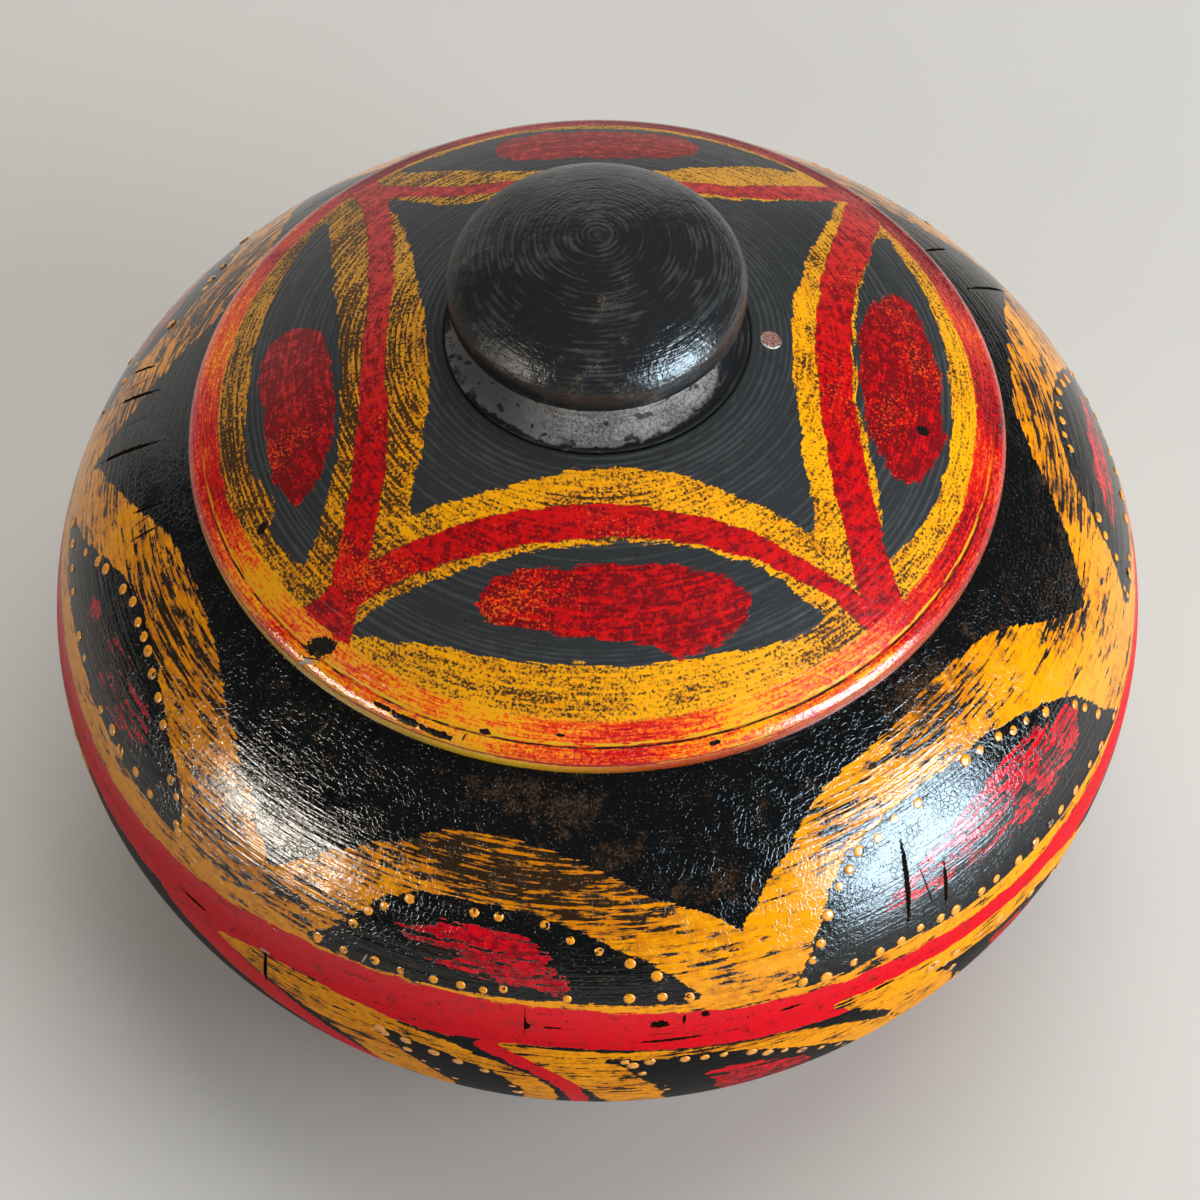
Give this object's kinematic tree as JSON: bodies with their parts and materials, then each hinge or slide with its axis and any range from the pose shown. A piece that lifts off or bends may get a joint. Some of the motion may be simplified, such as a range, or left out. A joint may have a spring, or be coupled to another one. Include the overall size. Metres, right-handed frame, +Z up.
{
  "type": "lidded wooden pot",
  "caption": "Squat round pot of turned and painted wood, with a flat foot, a wide mouth, a shallow domed lid that lifts off and a mushroom knob.",
  "frame": {"origin": "middle of the foot's underside", "axes": "+Z up through the knob, -Y towards the front that the picture shows"},
  "size_m": [0.3, 0.3, 0.252],
  "materials": {
    "body_lacquer": "turned wood under worn black, yellow and red lacquer, glossy",
    "lid_lacquer": "turned wood under worn black, yellow and red lacquer, satin to glossy",
    "knob_lacquer": "turned wood under glossy black lacquer, bare grey wood at the neck",
    "peg_wood": "small reddish brown wooden plug, satin"
  },
  "bodies": {
    "pot": {"pot_body": "body_lacquer"},
    "lid_set": {"lid": "lid_lacquer", "knob": "knob_lacquer", "lid_peg": "peg_wood"}
  },
  "joints": [
    {"name": "lid_lift", "type": "slide", "parent": "pot", "child": "lid_set", "axis": [0, 0, 1], "range_m": [0, 0.16]}
  ]
}
